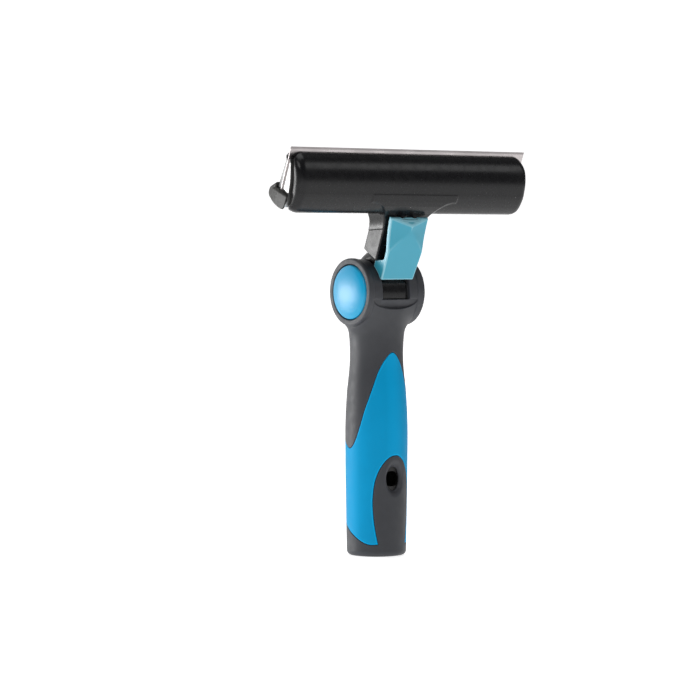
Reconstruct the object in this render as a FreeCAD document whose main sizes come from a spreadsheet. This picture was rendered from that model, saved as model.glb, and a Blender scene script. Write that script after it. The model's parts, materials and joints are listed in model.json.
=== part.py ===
"""Window cleaning squeegee with a clamped straight blade, a locking swivel and a pole-socket handle.

Millimetres.  The origin is the centre of the handle's bottom face, +Z runs up the handle, X runs along
the blade and the swivel's axis, and the lever side faces -Y.  Head pieces are drawn upright about the
swivel axis, with local Y to the back and local Z up the neck, and are then placed leaning forward.
"""
import FreeCAD, Part
import math
import os

import Sketcher

DIMENSIONS = {
    # handle
    "base_radius": 15.4, "belly_radius": 16.15, "shoulder_radius": 15.1, "throat_radius": 14.85,
    "collar_radius": 16.5, "base_round": 1.5, "belly_height": 66.0, "shoulder_height": 86.5,
    "throat_height": 116.0, "collar_height": 131.0, "pivot_height": 135.8,
    "liner_radius": 13.0, "socket_radius": 11.1, "socket_depth": 76.0, "inlay_depth": 1.2,
    "catch_height": 40.0, "catch_half_width": 4.0, "catch_half_rise": 5.8,
    "dish_half_width": 7.4, "dish_half_rise": 10.6,
    # swivel
    "barrel_radius": 17.2, "barrel_half": 17.5, "slot_half": 8.75, "cavity_radius": 16.0,
    "button_bore": 14.2, "button_radius": 13.6, "journal_radius": 12.0, "running_gap": 0.05,
    "axle_radius": 3.0, "web_outer": 12.2, "web_inner": 10.3,
    "knuckle_radius": 15.2, "knuckle_half": 8.3,
    # head
    "arm_tilt": 22.5, "shell_half": 74.2, "blade_half": 75.0, "blade_top": 78.0, "blade_foot": 52.0,
    "blade_front": 1.0, "blade_gauge": 0.5, "neck_half": 13.0, "neck_front": 8.3, "neck_back": 3.4,
    "jaw_pin_back": 3.0, "jaw_pin_height": 49.5, "lever_pin_front": 11.2, "lever_pin_height": 44.2,
}

doc = FreeCAD.newDocument("Squeegee")
sheet = doc.addObject("Spreadsheet::Sheet", "Dims")
for row, (alias, number) in enumerate(DIMENSIONS.items(), start=1):
    sheet.set(f"A{row}", alias)
    sheet.set(f"B{row}", str(number))
    sheet.setAlias(f"B{row}", alias)
doc.recompute()


class Size:
    """A length together with its spreadsheet formula, so that sums and products of it stay bound."""

    def __init__(self, value, formula):
        self.value = float(value)
        self.formula = formula

    def __add__(self, other):
        other = size(other)
        return Size(self.value + other.value, f"({self.formula} + {other.formula})")

    def __sub__(self, other):
        other = size(other)
        return Size(self.value - other.value, f"({self.formula} - {other.formula})")

    def __mul__(self, factor):
        return Size(self.value * factor, f"({self.formula} * {float(factor)})")

    def __neg__(self):
        return self * -1

    def __radd__(self, other):
        return size(other) + self

    def __rsub__(self, other):
        return size(other) - self

    def __rmul__(self, factor):
        return self * factor


def size(value):
    return value if isinstance(value, Size) else Size(value, f"({float(value)})")


def dim(alias):
    return Size(DIMENSIONS[alias], f"Dims.{alias}")


def bind(obj, prop, value):
    """Sets a property and, when the value comes from the sheet, keeps it bound there."""
    value = size(value)
    if "Dims" in value.formula:
        obj.setExpression(prop, value.formula)
    return value.value


def place(obj, at=(0, 0, 0), axis=(0, 0, 1), angle=0.0):
    base = FreeCAD.Vector(*(size(v).value for v in at))
    obj.Placement = FreeCAD.Placement(base, FreeCAD.Rotation(FreeCAD.Vector(*axis), angle))
    for letter, value in zip("xyz", at):
        bind(obj, f"Placement.Base.{letter}", value)
    return obj


def add(kind, label):
    obj = doc.addObject(kind, label)
    obj.Label = label
    return obj


# Turns that lay a primitive's own Z axis along X, Y or Z.
ALONG = {"X": ((0, 1, 0), 90.0), "Y": ((1, 0, 0), -90.0), "Z": ((0, 0, 1), 0.0)}


def cylinder(label, radius, length, at, along="X"):
    """A cylinder that starts at the point and runs towards +X, +Y or +Z."""
    obj = add("Part::Cylinder", label)
    obj.Radius = bind(obj, "Radius", radius)
    obj.Height = bind(obj, "Height", length)
    return place(obj, at, *ALONG[along])


def cone(label, start_radius, end_radius, length, at, along="X"):
    obj = add("Part::Cone", label)
    obj.Radius1 = bind(obj, "Radius1", start_radius)
    obj.Radius2 = bind(obj, "Radius2", end_radius)
    obj.Height = bind(obj, "Height", length)
    return place(obj, at, *ALONG[along])


def hexagon(label, circumradius, length, at):
    obj = add("Part::Prism", label)
    obj.Polygon = 6
    obj.Circumradius = circumradius
    obj.Height = length
    return place(obj, at, *ALONG["X"])


def block(label, low, high):
    """A box between two opposite corners."""
    obj = add("Part::Box", label)
    for prop, start, end in zip(("Length", "Width", "Height"), low, high):
        setattr(obj, prop, bind(obj, prop, size(end) - start))
    return place(obj, low)


def fused(label, *pieces):
    obj = add("Part::MultiFuse", label)
    obj.Shapes = list(pieces)
    return obj


def cut(label, base, *tools):
    obj = add("Part::Cut", label)
    obj.Base = base
    obj.Tool = tools[0] if len(tools) == 1 else fused(label + "_tools", *tools)
    return obj


def carried(label, piece):
    """A single primitive in a group of its own, so that the group can be placed as a whole."""
    obj = add("Part::Compound", label)
    obj.Links = [piece]
    return obj


def shared(label, *pieces):
    obj = add("Part::MultiCommon", label)
    obj.Shapes = list(pieces)
    return obj


def draw(sketch, start, steps):
    """Draws a closed outline.  A step is an end point, or (point passed through, end point) for an arc.

    Each corner is held to the origin by two distances that are bound to the sheet.
    """
    def vector(point):
        return FreeCAD.Vector(size(point[0]).value, size(point[1]).value, 0)

    corners = []
    here = start
    for step in steps + [start]:
        is_arc = isinstance(step[0], tuple)
        end = step[1] if is_arc else step
        if is_arc:
            edge = Part.Arc(vector(here), vector(step[0]), vector(end))
        else:
            edge = Part.LineSegment(vector(here), vector(end))
        index = sketch.addGeometry(edge, False)
        reached = sketch.getPoint(index, 1)
        begins = 1 if (reached - vector(here)).Length < 1e-6 else 2
        corners.append((index, begins, here))
        here = end
    for order, (index, begins, corner) in enumerate(corners):
        before, before_begins, _ = corners[order - 1]
        sketch.addConstraint(Sketcher.Constraint("Coincident", before, 3 - before_begins, index, begins))
        for kind, axis, value in (("DistanceX", -2, corner[0]), ("DistanceY", -1, corner[1])):
            value = size(value)
            if value.value == 0:
                sketch.addConstraint(Sketcher.Constraint("PointOnObject", index, begins, axis))
                continue
            number = sketch.addConstraint(Sketcher.Constraint(kind, -1, 1, index, begins, value.value))
            bind(sketch, f"Constraints[{number}]", value)


def sketched(label, plane, start, steps):
    body = add("PartDesign::Body", label)
    sketch = body.newObject("Sketcher::SketchObject", label + "_outline")
    sketch.AttachmentSupport = [(role_of(body, plane), "")]
    sketch.MapMode = "FlatFace"
    draw(sketch, start, steps)
    return body, sketch


def role_of(body, role):
    return [feature for feature in body.Origin.OriginFeatures if feature.Role == role][0]


def pad(label, plane, half, start, steps):
    """A body padded by half its length to each side of one of its origin planes."""
    body, sketch = sketched(label, plane, start, steps)
    feature = body.newObject("PartDesign::Pad", label + "_pad")
    feature.Profile = sketch
    feature.SideType = "Symmetric"
    feature.Length = bind(feature, "Length", size(half) * 2)
    return body


def turned(label, axis, start, steps):
    """A body of revolution: the outline is (X, Z), turned about X (H_Axis) or Z (V_Axis)."""
    body, sketch = sketched(label, "XZ_Plane", start, steps)
    feature = body.newObject("PartDesign::Revolution", label + "_turn")
    feature.Profile = sketch
    feature.ReferenceAxis = (sketch, [axis])
    return body


def section(label, half, start, steps):
    """A piece of constant section along X.  Points are (forward, up) in the leaning arm's frame."""
    def flip(point):
        return (-size(point[0]), size(point[1]))

    flipped = [(flip(s[0]), flip(s[1])) if isinstance(s[0], tuple) else flip(s) for s in steps]
    return pad(label, "YZ_Plane", half, flip(start), flipped)


nodes = {}


def finished(name, obj):
    """Registers a piece that stands in the handle's own frame."""
    obj.Label = name
    nodes[name] = obj
    return obj


def on_pivot(name, obj):
    """Registers a piece drawn about the swivel axis."""
    return finished(name, place(obj, (0, 0, dim("pivot_height"))))


def on_arm(name, obj):
    """Registers a head piece: it leans forward about the swivel axis."""
    place(obj, (0, 0, dim("pivot_height")), (1, 0, 0), DIMENSIONS["arm_tilt"])
    obj.setExpression("Placement.Rotation.Angle", "Dims.arm_tilt * 1 deg")
    return finished(name, obj)


# ---------------------------------------------------------------- handle

def grip_outline(label, inset=0.0):
    """The handle's round body up to its collar, or the same shape smaller all round."""
    def ring(radius, height):
        return (dim(radius) - inset, dim(height))

    return turned(label, "V_Axis", (0, 0), [
        (dim("base_radius") - inset - dim("base_round"), 0),
        ((dim("base_radius") - inset - 0.44, 0.44), (dim("base_radius") - inset, dim("base_round"))),
        ((16.0 - inset, 36.0), ring("belly_radius", "belly_height")),
        ((15.85 - inset, 76.0), ring("shoulder_radius", "shoulder_height")),
        ((13.88 - inset, 101.0), ring("throat_radius", "throat_height")),
        ring("collar_radius", "collar_height"),
        (0, dim("collar_height")),
    ])


def inlay_prism(label):
    """The coloured inlay's outline in side view (forward is negative), drawn right through the grip."""
    return pad(label, "YZ_Plane", 20.0, (-15.0, 105.4), [
        (-13.6, 104.4),
        ((-11.6, 95.0), (-7.4, 73.5)),
        ((-5.0, 62.5), (-1.0, 57.1)),
        ((1.7, 55.6), (5.6, 57.3)),
        (18.0, 65.0),
        (18.0, 21.5),
        (6.2, 15.0),
        (-5.7, 8.0),
        ((-9.0, 6.2), (-12.9, 6.2)),
        ((-11.3, 26.0), (-12.3, 38.0)),
        ((-13.6, 45.5), (-16.0, 51.7)),
        (-18.0, 52.2),
        (-18.0, 105.4),
    ])


def oval_funnel(label):
    """The pole catch's opening: an oval hole that widens into a dished mouth."""
    rings = []
    for order, (depth, width) in enumerate(((-17.0, "dish"), (-13.2, "catch"), (-9.0, "catch"))):
        ring = add("Part::Ellipse", f"{label}_ring_{order}")
        ring.MajorRadius = bind(ring, "MajorRadius", dim(f"{width}_half_rise"))
        ring.MinorRadius = bind(ring, "MinorRadius", dim(f"{width}_half_width"))
        turn = FreeCAD.Rotation(FreeCAD.Vector(1, 0, 0), FreeCAD.Vector(0, 0, 1), FreeCAD.Vector(0, -1, 0))
        ring.Placement = FreeCAD.Placement(FreeCAD.Vector(0, depth, DIMENSIONS["catch_height"]), turn)
        rings.append(ring)
    mouth = add("Part::Loft", label)
    mouth.Sections = rings
    mouth.Solid = True
    mouth.Ruled = True
    return mouth


def make_handle():
    top = dim("pivot_height")
    barrel = cylinder("barrel", dim("barrel_radius"), dim("barrel_half") * 2, (-dim("barrel_half"), 0, top))
    blank = fused("handle_blank", grip_outline("grip_form"), barrel)
    slot = dim("slot_half")
    front_lip = top - 3.6
    back_lip = top - 8.8
    high = top + 20
    hollows = [
        cylinder("socket_room", dim("liner_radius"), dim("socket_depth"), (0, 0, 0), "Z"),
        cylinder("knuckle_room", dim("cavity_radius"), slot * 2, (-slot, 0, top)),
        block("front_window", (-slot, -25, front_lip), (slot, 0, high)),
        block("back_window", (-slot, 0, back_lip), (slot, 25, high)),
        cylinder("button_room", dim("button_bore"), 6, (-dim("web_outer") - 6, 0, top)),
        cone("clutch_seat", 9.1, 10.55, dim("web_outer") - dim("web_inner"), (-dim("web_outer"), 0, top)),
        cylinder("journal_room", dim("journal_radius") + dim("running_gap"), dim("web_inner") * 2,
                 (-dim("web_inner"), 0, top)),
        cylinder("axle_hole", dim("axle_radius"), 6, (9, 0, top)),
        cylinder("cap_room", dim("button_bore"), 6, (13.0, 0, top)),
        oval_funnel("catch_mouth"),
    ]
    lip = add("Part::Ellipse", "ledge_outline")
    lip.MajorRadius = 14.0
    lip.MinorRadius = 4.8
    turn = FreeCAD.Rotation(FreeCAD.Vector(1, 0, 0), FreeCAD.Vector(0, 0, 1), FreeCAD.Vector(0, -1, 0))
    lip.Placement = FreeCAD.Placement(FreeCAD.Vector(0, -15.4, DIMENSIONS["pivot_height"] - 3.6), turn)
    ledge = add("Part::Extrusion", "ledge_cut")
    ledge.Base = lip
    ledge.DirMode = "Custom"
    ledge.Dir = FreeCAD.Vector(0, -1, 0)
    ledge.LengthFwd = 5.0
    ledge.Solid = True
    ledge_low = shared("ledge_low", ledge, block("below_lip", (-20, -25, top - 9), (20, 0, top - 3.6)))
    body = cut("handle_whole", blank, *hollows, ledge_low)

    skin = cut("grip_skin", grip_outline("skin_form"), grip_outline("skin_core", dim("inlay_depth")))
    inlay_blank = shared("inlay_blank", skin, inlay_prism("inlay_side_view"))
    finished("handle_body", cut("handle_body", body, inlay_blank))
    finished("grip_inlay", cut("grip_inlay", inlay_blank, oval_funnel("inlay_mouth")))

    liner = cylinder("liner_form", dim("liner_radius"), dim("socket_depth"), (0, 0, 0), "Z")
    bore = cylinder("liner_bore", dim("socket_radius"), dim("socket_depth") - 2.6, (0, 0, 0), "Z")
    finished("socket_liner", cut("socket_liner", liner, bore, oval_funnel("liner_mouth")))


# ---------------------------------------------------------------- swivel and its lock

def make_swivel():
    gap = dim("running_gap")
    axle = turned("pivot_axle", "H_Axis", (-13.6, 0), [
        (-13.6, dim("axle_radius") - 0.4), (-13.2, dim("axle_radius")),
        (13.0, dim("axle_radius")), (13.0, 0)])
    on_pivot("pivot_axle", cut("pivot_axle_bored", axle, cylinder("axle_tap", 1.4, 8, (6, 0, 0))))

    sleeve = cylinder("insert_form", dim("journal_radius"), 13.7, (-10.2, 0, 0))
    on_arm("hub_insert", cut("hub_insert", sleeve,
                             cylinder("insert_mouth", 10.8, 3.4, (-10.4, 0, 0)),
                             hexagon("insert_hexagon", 8.2, 9.2, (-7.2, 0, 0)),
                             cylinder("insert_axle_hole", dim("axle_radius") + gap, 4, (1, 0, 0))))

    seat_length = dim("web_outer") - dim("web_inner")
    plug = cone("clutch_face", 9.0, 10.45, seat_length, (-dim("web_outer") + 0.05, 0, 0))
    stem = hexagon("clutch_hexagon", 8.0, 6.3, (-10.8, 0, 0))
    on_arm("lock_cone", cut("lock_cone", fused("lock_cone_form", plug, stem),
                            cylinder("cone_axle_hole", dim("axle_radius") + gap, 12, (-14, 0, 0))))

    button = turned("button_form", "H_Axis", (-18.9, 0), [
        ((-18.55, 6.9), (-17.5, dim("button_radius") - 0.4)),
        (-17.1, dim("button_radius")), (-15.3, dim("button_radius")), (-15.3, 8.7), (-12.2, 8.7),
        (-12.2, 6.7), (-16.9, 6.7), (-16.9, 0)])
    on_pivot("lock_button", button)

    inner, outer, dish, gauge = 4.6, 6.8, 1.35, 0.5
    near_side = [(-4.2 + dish * n, outer if n % 2 else inner) for n in range(5)]
    far_side = [(x + gauge, radius) for x, radius in reversed(near_side)]
    on_pivot("button_spring", turned("disc_springs", "H_Axis", near_side[0], near_side[1:] + far_side))

    washers = []
    for side, start in (("left", -8.7), ("right", 8.35)):
        ring = cylinder(f"washer_{side}", 14.8, 0.35, (start, 0, 0))
        hole = cylinder(f"washer_{side}_hole", 12.4, 1, (start - 0.3, 0, 0))
        washers.append(cut(f"washer_{side}_ring", ring, hole))
    on_pivot("wear_washers", fused("wear_washers", *washers))

    cap = turned("cap_form", "H_Axis", (13.0, 1.6), [
        (13.0, 5.0), (15.2, 5.0), (15.2, dim("button_bore") - 0.1), (17.2, dim("button_bore") - 0.1),
        ((17.9, 10.5), (18.1, 4.2)), (16.6, 4.2), (16.6, 1.6)])
    on_pivot("end_cap", cap)
    screw = fused("cap_screw_form", cylinder("cap_screw_head", 3.7, 1.3, (16.6, 0, 0)),
                  cylinder("cap_screw_shank", 1.4, 8.4, (8.4, 0, 0)))
    on_pivot("cap_screw", cut("cap_screw", screw, hexagon("cap_screw_drive", 1.5, 2.0, (17.1, 0, 0))))


# ---------------------------------------------------------------- head

# Where the dark shell meets the blade seat, from the top down, as (forward, up) points.
SEAT_LINE = [(0.5, 69.6), (3.15, 62.1), (4.45, 54.5), (5.0, 51.5), (3.2, 47.6)]
LUG_PLACES = (-62.0, -24.0, 24.0, 62.0)


def pin_centre():
    return (-dim("jaw_pin_back"), dim("jaw_pin_height"))


def neck_plate():
    """The flat neck: straight sides that sweep out to the shell in two quarter rounds."""
    side, sweep, foot = dim("neck_half"), 10.0, 21.0
    turn_up, top = 39.0, 52.5
    corner = sweep * (1 - math.sqrt(0.5))
    climb = sweep * math.sqrt(0.5)
    front_view = pad("neck_front_view", "XZ_Plane", 20.0, (-side, foot), [
        (side, foot), (side, turn_up),
        ((side + corner, turn_up + climb), (side + sweep, turn_up + sweep)),
        (side + sweep, top), (-side - sweep, top), (-side - sweep, turn_up + sweep),
        ((-side - corner, turn_up + climb), (-side, turn_up))])
    side_view = section("neck_side_view", 30.0, (-dim("neck_back"), 22.7), [
        (dim("neck_front"), 20.8), (dim("neck_front"), 52.0), (5.9, 50.2), (3.2, 46.9),
        (-dim("neck_back"), 46.9)])
    return shared("neck_plate", front_view, side_view)


def knuckle():
    """The round foot of the neck that turns inside the barrel's slot, with a heel at its back."""
    half = dim("knuckle_half")
    disc = cylinder("knuckle_disc", dim("knuckle_radius"), half * 2, (-half, 0, 0))
    heel = section("knuckle_heel", half, (-14.6, 4.0), [
        ((-13.0, 12.4), (-9.0, 18.0)), ((-6.6, 20.6), (-3.4, 22.9)), (7.0, 22.5), (10.6, 10.8), (0, 0)])
    journal = cylinder("knuckle_journal", dim("journal_radius"), 1.9, (half, 0, 0))
    return fused("knuckle", disc, heel, journal)


def jaw_lugs(label, half, radius, reach):
    """Lugs below the shell that carry the jaw pin, or the wider notches that clear them."""
    back, up = pin_centre()
    pieces = []
    for order, centre in enumerate(LUG_PLACES):
        eye = cylinder(f"{label}_eye_{order}", radius, half * 2, (centre - half, -back, up))
        root = section(f"{label}_root_{order}", half, (reach, 45.9), [
            (reach, 47.4), (-1.0, 47.4), (back + radius, up), (back - radius * 0.8, up - radius * 0.6),
            (back, up - radius), (-0.6, 45.9)])
        place(root, (centre, 0, 0))
        pieces += [eye, root]
    return fused(label, *pieces)


def make_head_body():
    shell = section("shell_form", dim("shell_half"), (-1.0, 74.6), [
        (0.0, 74.6), ((6.6, 69.3), (10.4, 58.0)), (10.3, 55.8), ((8.75, 52.0), (6.1, 48.1)),
        ((4.9, 46.5), (3.6, 45.8)), (2.7, 46.3), *reversed(SEAT_LINE), (-1.0, 71.6)])
    lug_half = 2.4
    front, up = dim("lever_pin_front"), dim("lever_pin_height")
    fork = []
    for order, centre in enumerate((-3.8, 3.8)):
        eye = cylinder(f"fork_eye_{order}", 2.0, lug_half, (centre - lug_half / 2, -front, up))
        root = block(f"fork_root_{order}", (centre - lug_half / 2, -front, up - 2.0),
                     (centre + lug_half / 2, -7.0, up + 2.0))
        fork += [eye, root]
    solid = fused("head_solid", shell, neck_plate(), knuckle(), *fork, jaw_lugs("jaw_lugs", 3.0, 2.1, 5.0))
    half = dim("knuckle_half")
    hollows = [
        cylinder("insert_room", dim("journal_radius"), half + 3.5, (-half, 0, 0)),
        cylinder("knuckle_axle_hole", dim("axle_radius") + dim("running_gap"), 12, (0, 0, 0)),
        cylinder("cam_room", 4.5, 5.2, (-2.6, -front, up)),
        cylinder("rod_room", 1.65, 20, (0, -9.5, up), "Y"),
        cylinder("lever_pin_hole", 1.0, 12, (-6, -front, up)),
        cylinder("jaw_pin_hole", 1.0, 150, (-75, dim("jaw_pin_back"), dim("jaw_pin_height"))),
        *seat_screw_blanks("shell"),
    ]
    on_arm("head_body", cut("head_body", solid, *hollows))


SCREW_PLACES = (-55.0, -18.0, 18.0, 55.0)
SCREW_HEIGHT = 63.0
STUD_PLACES = (-40.0, 40.0)
STUD_HEIGHT = 57.0


def seat_screw_blanks(label):
    """The four screws that hold the seat in the shell, each a shank and a countersunk head."""
    tools = []
    for order, centre in enumerate(SCREW_PLACES):
        tip = (centre, -6.6, SCREW_HEIGHT)
        tools.append(cylinder(f"{label}_shank_{order}", 1.25, dim("blade_front") + 6.6, tip, "Y"))
        under = (centre, dim("blade_front") - 1.5, SCREW_HEIGHT)
        tools.append(cone(f"{label}_head_{order}", 1.25, 2.4, 1.5, under, "Y"))
    return tools


def make_blade_and_seat():
    seat = section("seat_form", dim("shell_half"), (-1.0, 71.6), [
        *SEAT_LINE, (-0.8, 47.6), (-0.8, 51.9), (-1.0, 51.9)])
    studs = []
    stud_rooms = []
    for order, centre in enumerate(STUD_PLACES):
        studs.append(cylinder(f"stud_{order}", 1.5, 3.2, (centre, -1.2, STUD_HEIGHT), "Y"))
        stud_rooms.append(cylinder(f"stud_root_{order}", 1.5, 2.5, (centre, -1.2, STUD_HEIGHT), "Y"))
    screws = fused("screw_blanks", *seat_screw_blanks("fitted"))
    drives = []
    for order, centre in enumerate(SCREW_PLACES):
        slot = (centre - 0.3, 0.4, SCREW_HEIGHT - 1.7)
        drives.append(block(f"screw_slot_{order}", slot, (centre + 0.3, 1.2, SCREW_HEIGHT + 1.7)))
    on_arm("blade_seat", cut("blade_seat", seat, *seat_screw_blanks("seat"), *stud_rooms))
    on_arm("seat_screws", cut("seat_screws", screws, *drives))
    on_arm("blade_studs", fused("blade_studs", *studs))

    front, back = -dim("blade_front"), -dim("blade_front") - dim("blade_gauge")
    bevel = dim("blade_gauge") * 0.42
    strip = section("blade_form", dim("blade_half"), (front, dim("blade_foot")), [
        (front, dim("blade_top") - 1.0), (front - bevel, dim("blade_top")),
        (back + bevel, dim("blade_top")), (back, dim("blade_top") - 1.0), (back, dim("blade_foot"))])
    holes = []
    for order, centre in enumerate(STUD_PLACES):
        holes.append(cylinder(f"blade_hole_{order}", 1.7, 3.0, (centre, 0, STUD_HEIGHT), "Y"))
    on_arm("blade", cut("blade", strip, *holes))


def make_clamp():
    back = -dim("blade_front") - dim("blade_gauge")
    plate = section("plate_form", dim("shell_half"), (back, 70.4), [
        (-3.55, 70.4), (-4.75, 58.3), (-4.95, 55.4), (-4.5, 55.2), (-4.5, 54.9), (-5.0, 54.6),
        (-5.0, 51.7), (back, 51.7)])
    rooms = []
    for order, centre in enumerate(STUD_PLACES):
        rooms.append(cylinder(f"plate_hole_{order}", 2.0, 1.5, (centre, 1.0, STUD_HEIGHT), "Y"))
    rivet_places = (-66.0, -33.0, 0.0, 33.0, 66.0)
    rivets = []
    rivet_rooms = []
    for order, centre in enumerate(rivet_places):
        at = (centre, 2.5, 53.2)
        rivets += [cylinder(f"rivet_{order}", 0.9, 7.0, at, "Y"),
                   cylinder(f"rivet_head_{order}", 1.6, 0.5, (centre, 9.2, 53.2), "Y")]
        rivet_rooms.append(cylinder(f"rivet_room_{order}", 0.9, 7.0, at, "Y"))
        rivet_rooms.append(cylinder(f"rivet_sink_{order}", 1.6, 2.0, (centre, 9.2, 53.2), "Y"))
    on_arm("clamp_plate", cut("clamp_plate", plate, *rooms, fused("plate_rivet_rooms", *rivet_rooms)))
    on_arm("plate_rivets", fused("plate_rivets", *rivets))

    on_arm("edge_strip", section("edge_strip", dim("shell_half"), (back - 0.1, 70.4), [
        (back - 0.1, 74.3), ((-2.6, 74.4), (-3.5, 73.4)), (-3.75, 70.4)]))

    jaw = section("jaw_form", dim("shell_half"), (-5.0, 54.6), [
        (-9.4, 54.6), ((-10.1, 54.2), (-10.2, 53.2)), (-10.1, 50.6), ((-9.6, 49.2), (-8.4, 48.5)),
        ((-5.6, 47.8), (-1.4, 47.9)), (-1.4, 51.7), (-5.0, 51.7)])
    tail = block("jaw_tail", (-5.0, 4.8, 42.0), (5.0, 6.8, 49.0))
    notches = []
    for order, centre in enumerate(LUG_PLACES):
        notches.append(block(f"jaw_notch_{order}", (centre - 3.4, 0.0, 46.0), (centre + 3.4, 5.5, 51.75)))
    pin_room = cylinder("jaw_pin_room", 1.05, 150, (-75, dim("jaw_pin_back"), dim("jaw_pin_height")))
    rivet_bores = []
    rivet_sinks = []
    for order, place_x in enumerate(rivet_places):
        rivet_bores.append(cylinder(f"jaw_rivet_{order}", 0.9, 7.0, (place_x, 2.5, 53.2), "Y"))
        rivet_sinks.append(cylinder(f"jaw_sink_{order}", 1.6, 2.0, (place_x, 9.2, 53.2), "Y"))
    on_arm("clamp_jaw", cut("clamp_jaw", fused("jaw_solid", jaw, tail), pin_room, *notches,
                            *rivet_bores, *rivet_sinks))
    pin = cylinder("jaw_pin_form", 1.0, 146, (-73, dim("jaw_pin_back"), dim("jaw_pin_height")))
    on_arm("jaw_pin", carried("jaw_pin", pin))
    rod = cylinder("rod_form", 1.6, 11.6, (0, -7.05, dim("lever_pin_height")), "Y")
    on_arm("push_rod", carried("push_rod", rod))


def lever_ring(up, half, rear, side, crown):
    """One level of the lever: flat at the back, rising to a crown in the middle of its front."""
    points = [(-half, rear), (-half, side), (0, crown), (half, side), (half, rear)]
    corners = [FreeCAD.Vector(x, -forward, up) for x, forward in points]
    return Part.makePolygon(corners + corners[:1])


def make_lever():
    front, up = dim("lever_pin_front"), dim("lever_pin_height")
    # Each level: height, half width, rear, side edge, crown.
    skin = [(12.6, 10.2, 11.4, 13.5, 13.6), (29.0, 10.9, 11.3, 14.1, 14.4), (39.4, 11.5, 10.6, 12.2, 15.0),
            (43.6, 11.8, 10.2, 11.6, 16.4), (46.4, 12.0, 10.2, 11.4, 11.6)]
    hollow = [(14.2, 8.7, 11.0, 11.9, 12.0), (29.0, 9.4, 10.9, 12.3, 12.8), (39.4, 10.0, 10.2, 10.8, 13.4),
              (43.6, 10.3, 9.8, 10.4, 14.4), (45.2, 10.4, 9.8, 10.3, 12.4)]
    crown = add("Part::Feature", "lever_crown")
    crown.Shape = Part.makeLoft([lever_ring(*level) for level in skin], True, True)
    room = add("Part::Feature", "lever_hollow")
    room.Shape = Part.makeLoft([lever_ring(*level) for level in hollow], True, True)
    foot_walls = []
    for order, side in enumerate((-1, 1)):
        inner, outer = sorted((side * 8.7, side * 10.25))
        wall = section(f"foot_wall_{order}", 0.8, (12.2, 12.8), [(12.2, 20.4), (5.3, 20.4), (5.9, 14.0)])
        place(wall, ((inner + outer) / 2, 0, 0))
        foot_walls.append(wall)
    rib = section("cam_rib", 2.2, (9.5, 42.0), [
        (13.0, 38.0), (15.6, 41.0), (15.6, 43.6), (13.0, 45.2), (9.5, 46.4)])
    cam = cylinder("cam", 2.5, 4.4, (-2.2, -front + 1.5, up))
    shell = cut("lever_shell", crown, room)
    whole = fused("lever_solid", shell, *foot_walls, rib, cam)
    fork_rooms = []
    for order, side in enumerate((-1, 1)):
        low, high = sorted((side * 2.3, side * 5.3))
        fork_rooms.append(block(f"fork_slot_{order}", (low, -front, up - 2.6), (high, -7.0, up + 3.0)))
        fork_rooms.append(cylinder(f"fork_round_{order}", 2.4, 3.0, (low, -front, up)))
    on_arm("release_lever", cut("release_lever", whole, *fork_rooms,
                                cylinder("cam_hole", 1.05, 5, (-2.5, -front, up)),
                                cylinder("barrel_sweep", 17.6, 30, (-15, 0, 0))))
    on_arm("lever_pin", carried("lever_pin", cylinder("lever_pin_form", 1.0, 10.0, (-5.0, -front, up))))


make_handle()
make_swivel()
make_head_body()
make_blade_and_seat()
make_clamp()
make_lever()
doc.recompute()

for obj in doc.Objects:
    if "Invalid" in obj.State or "Error" in obj.State:
        raise RuntimeError(f"{obj.Label} did not compute: {obj.State}")
os.makedirs("parts", exist_ok=True)
for name, obj in nodes.items():
    if obj.Shape.isNull() or not obj.Shape.isValid() or not obj.Shape.Solids:
        raise RuntimeError(f"{name} has no valid shape")
for name, obj in nodes.items():
    obj.Shape.exportStep(f"parts/{name}.step")
    print(f"{name}: {len(obj.Shape.Solids)} solid(s), {obj.Shape.Volume:.0f} mm3")
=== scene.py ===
"""Looks of the window cleaning squeegee: materials, studio light and the pieces that need finer shapes.

Metres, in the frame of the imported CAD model: origin at the foot of the handle, +Z up, lever side to -Y.
"""
import json
import math

import bmesh
import bpy
import numpy as np
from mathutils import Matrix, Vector


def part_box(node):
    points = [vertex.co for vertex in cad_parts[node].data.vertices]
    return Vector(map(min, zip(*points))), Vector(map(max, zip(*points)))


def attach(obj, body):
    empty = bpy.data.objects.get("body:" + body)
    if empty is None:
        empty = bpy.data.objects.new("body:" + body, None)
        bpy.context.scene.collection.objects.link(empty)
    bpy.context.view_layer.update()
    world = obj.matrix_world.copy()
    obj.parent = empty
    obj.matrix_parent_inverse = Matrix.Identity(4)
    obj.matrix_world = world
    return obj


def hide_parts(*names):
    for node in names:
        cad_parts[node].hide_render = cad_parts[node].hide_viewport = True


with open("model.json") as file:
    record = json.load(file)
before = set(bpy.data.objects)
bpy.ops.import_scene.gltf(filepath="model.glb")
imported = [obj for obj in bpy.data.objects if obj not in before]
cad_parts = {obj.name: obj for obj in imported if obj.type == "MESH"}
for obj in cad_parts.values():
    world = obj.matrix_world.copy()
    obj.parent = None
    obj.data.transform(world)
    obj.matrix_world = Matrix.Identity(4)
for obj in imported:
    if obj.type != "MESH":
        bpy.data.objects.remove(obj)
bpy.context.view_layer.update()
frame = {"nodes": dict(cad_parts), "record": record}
NODES = frame["nodes"]
JOINTS = {joint["name"]: joint for joint in frame["record"]["behaviour"]["joints"]}
MM = 0.001


def corners(node):
    """A CAD node's lowest and highest corners at rest, in millimetres."""
    return [np.round(np.array(corner) / MM, 2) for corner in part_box(node)]


def joint_place(name):
    """Where a joint's axis goes through the object's middle plane, in millimetres."""
    return np.array(JOINTS[name]["pos_m"]) / MM


# ---------------------------------------------------------------- materials

PATCH_SIZE, GLOSS_SIZE, SMUDGE_SIZE, LINE_DEPTH = 0.018, 0.004, 0.01, 0.00001
MATERIALS = {}


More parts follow.
